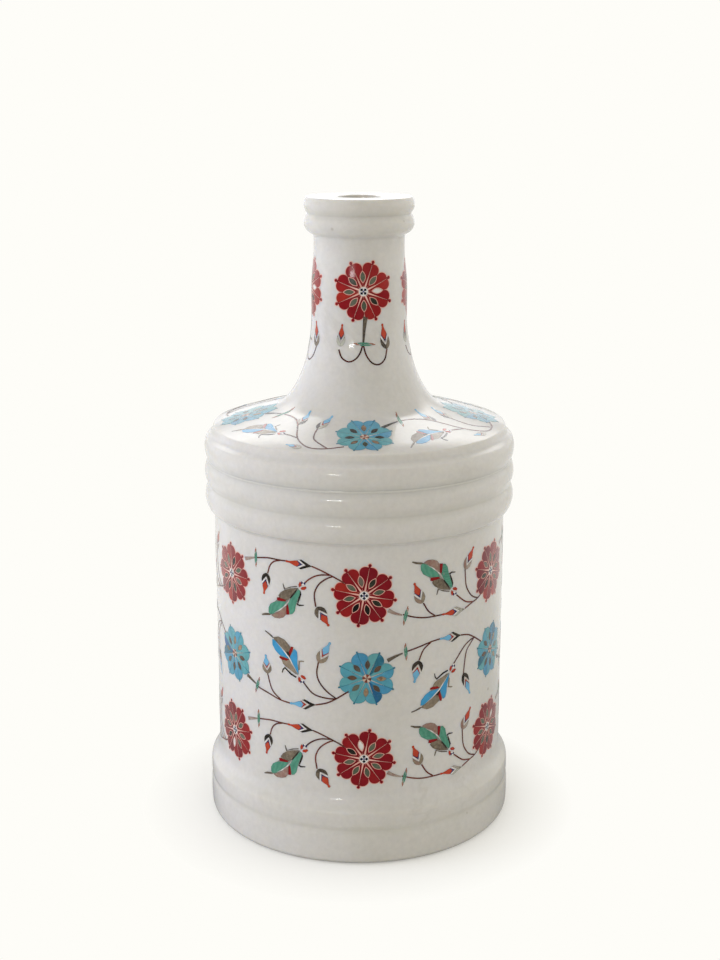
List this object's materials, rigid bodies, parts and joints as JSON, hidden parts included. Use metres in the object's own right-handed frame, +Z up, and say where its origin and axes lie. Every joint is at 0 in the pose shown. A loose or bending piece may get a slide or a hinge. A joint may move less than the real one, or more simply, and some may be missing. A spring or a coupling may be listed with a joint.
{
  "type": "marble vase",
  "caption": "Turned marble bottle vase with a drum body, ringed shoulder, narrow flared neck and flush hard-stone flower and leaf inlay.",
  "frame": {"origin": "centre of the underside, on the surface the vase stands on", "axes": "+Z up along the turning axis towards the mouth; -Y is the front, the side pictured; +X is to the viewer's right"},
  "size_m": [0.1506, 0.1506, 0.305],
  "materials": {
    "white_marble": "polished",
    "carnelian": "polished",
    "turquoise": "polished",
    "malachite": "polished",
    "sky_stone": "polished"
  },
  "bodies": {
    "root": {"drum": "white_marble", "shoulder_neck": "white_marble", "lower_flower_1": "carnelian", "lower_flower_2": "carnelian", "lower_flower_3": "carnelian", "lower_flower_4": "carnelian", "lower_flower_5": "carnelian", "lower_flower_6": "carnelian", "middle_flower_1": "turquoise", "middle_flower_2": "turquoise", "middle_flower_3": "turquoise", "middle_flower_4": "turquoise", "middle_flower_5": "turquoise", "middle_flower_6": "turquoise", "upper_flower_1": "carnelian", "upper_flower_2": "carnelian", "upper_flower_3": "carnelian", "upper_flower_4": "carnelian", "upper_flower_5": "carnelian", "upper_flower_6": "carnelian", "lower_leaf_1": "malachite", "lower_leaf_2": "malachite", "lower_leaf_3": "malachite", "lower_leaf_4": "malachite", "lower_leaf_5": "malachite", "lower_leaf_6": "malachite", "middle_leaf_1": "sky_stone", "middle_leaf_2": "sky_stone", "middle_leaf_3": "sky_stone", "middle_leaf_4": "sky_stone", "middle_leaf_5": "sky_stone", "middle_leaf_6": "sky_stone", "upper_leaf_1": "malachite", "upper_leaf_2": "malachite", "upper_leaf_3": "malachite", "upper_leaf_4": "malachite", "upper_leaf_5": "malachite", "upper_leaf_6": "malachite", "shoulder_flower_1": "turquoise", "shoulder_flower_2": "turquoise", "shoulder_flower_3": "turquoise", "shoulder_flower_4": "turquoise", "shoulder_leaf_1": "sky_stone", "shoulder_leaf_2": "sky_stone", "shoulder_leaf_3": "sky_stone", "shoulder_leaf_4": "sky_stone", "neck_flower_1": "carnelian", "neck_flower_2": "carnelian", "neck_flower_3": "carnelian", "neck_flower_4": "carnelian"}
  },
  "joints": []
}
